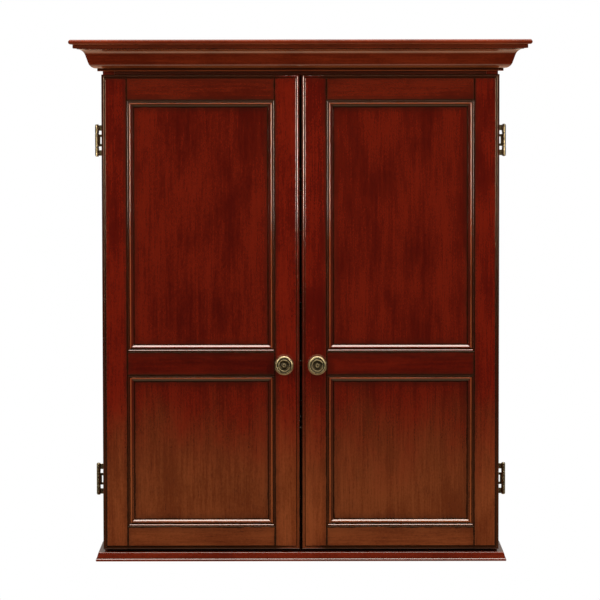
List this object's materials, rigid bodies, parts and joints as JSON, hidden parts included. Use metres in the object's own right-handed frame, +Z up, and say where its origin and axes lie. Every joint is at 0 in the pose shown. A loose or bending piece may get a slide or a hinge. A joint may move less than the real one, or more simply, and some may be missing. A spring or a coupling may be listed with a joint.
{
  "type": "dartboard cabinet",
  "caption": "Wall cabinet with crown moulding and framed doors that swing open on butt hinges to uncover scoreboards, dart racks and a dartboard hung on a slotted bracket.",
  "frame": {"origin": "centre of the cabinet's rear face, on the wall plane, straight behind the bull and at half of the overall height", "axes": "+X to the right as seen from the front, +Y into the wall, +Z up; the doors face -Y"},
  "size_m": [0.72, 0.161, 0.816],
  "materials": {
    "mahogany_lacquer": "deep red-brown stain under gloss lacquer, dark glaze in the quirks",
    "plywood": "stained plywood, matt",
    "cork": "bare agglomerated cork, matt",
    "chalkboard": "matt black chalkboard paint on hardboard",
    "antique_brass": "aged brass, darkened in the recesses, rubbed bright on the edges",
    "steel": "bright zinc-plated steel",
    "black_steel": "black painted steel, satin",
    "black_plastic": "black moulded plastic, matt",
    "sisal": "pressed sisal fibre, dyed black, cream, red and green in the playing areas"
  },
  "bodies": {
    "carcass": {"side_panel_left": "mahogany_lacquer", "side_panel_right": "mahogany_lacquer", "top_panel": "mahogany_lacquer", "bottom_panel": "mahogany_lacquer", "header_rail": "mahogany_lacquer", "back_panel": "plywood", "cork_liner": "cork", "hanging_rail_lower": "plywood", "hanging_rail_upper": "plywood", "base_board": "mahogany_lacquer", "crown_cap": "mahogany_lacquer", "crown_front": "mahogany_lacquer", "crown_left": "mahogany_lacquer", "crown_right": "mahogany_lacquer", "magnetic_catch": "black_plastic", "board_bracket": "black_steel", "hinge_leaf_carcass_upper_left": "antique_brass", "hinge_pin_upper_left": "antique_brass", "hinge_leaf_carcass_lower_left": "antique_brass", "hinge_pin_lower_left": "antique_brass", "hinge_leaf_carcass_upper_right": "antique_brass", "hinge_pin_upper_right": "antique_brass", "hinge_leaf_carcass_lower_right": "antique_brass", "hinge_pin_lower_right": "antique_brass"},
    "door_left": {"stile_outer_left": "mahogany_lacquer", "stile_inner_left": "mahogany_lacquer", "rail_top_left": "mahogany_lacquer", "rail_middle_left": "mahogany_lacquer", "rail_bottom_left": "mahogany_lacquer", "panel_upper_left": "mahogany_lacquer", "panel_lower_left": "mahogany_lacquer", "bead_upper_left": "mahogany_lacquer", "bead_lower_left": "mahogany_lacquer", "knob_left": "antique_brass", "scoreboard_left": "chalkboard", "dart_rack_left": "mahogany_lacquer", "strike_plate_left": "steel", "hinge_leaf_door_upper_left": "antique_brass", "hinge_leaf_door_lower_left": "antique_brass"},
    "door_right": {"stile_outer_right": "mahogany_lacquer", "stile_inner_right": "mahogany_lacquer", "rail_top_right": "mahogany_lacquer", "rail_middle_right": "mahogany_lacquer", "rail_bottom_right": "mahogany_lacquer", "panel_upper_right": "mahogany_lacquer", "panel_lower_right": "mahogany_lacquer", "bead_upper_right": "mahogany_lacquer", "bead_lower_right": "mahogany_lacquer", "knob_right": "antique_brass", "scoreboard_right": "chalkboard", "dart_rack_right": "mahogany_lacquer", "strike_plate_right": "steel", "hinge_leaf_door_upper_right": "antique_brass", "hinge_leaf_door_lower_right": "antique_brass"},
    "dartboard": {"board_backing": "plywood", "sisal_disc": "sisal", "rim_band": "black_steel", "wire_spider": "steel", "board_hook_screw": "steel"},
    "number_ring": {"number_ring": "steel"}
  },
  "joints": [
    {"name": "door_left_swing", "type": "hinge", "parent": "carcass", "child": "door_left", "pos_m": [-0.3183, -0.1115, -0.0185], "axis": [0, 0, -1], "range_deg": [0, 190]},
    {"name": "door_right_swing", "type": "hinge", "parent": "carcass", "child": "door_right", "pos_m": [0.3183, -0.1115, -0.0185], "axis": [0, 0, 1], "range_deg": [0, 190]},
    {"name": "dartboard_turn", "type": "hinge", "parent": "carcass", "child": "dartboard", "pos_m": [0, -0.04, 0], "axis": [0, -1, 0], "continuous": true},
    {"name": "number_ring_turn", "type": "hinge", "parent": "dartboard", "child": "number_ring", "pos_m": [0, -0.0629, 0], "axis": [0, -1, 0], "continuous": true}
  ]
}
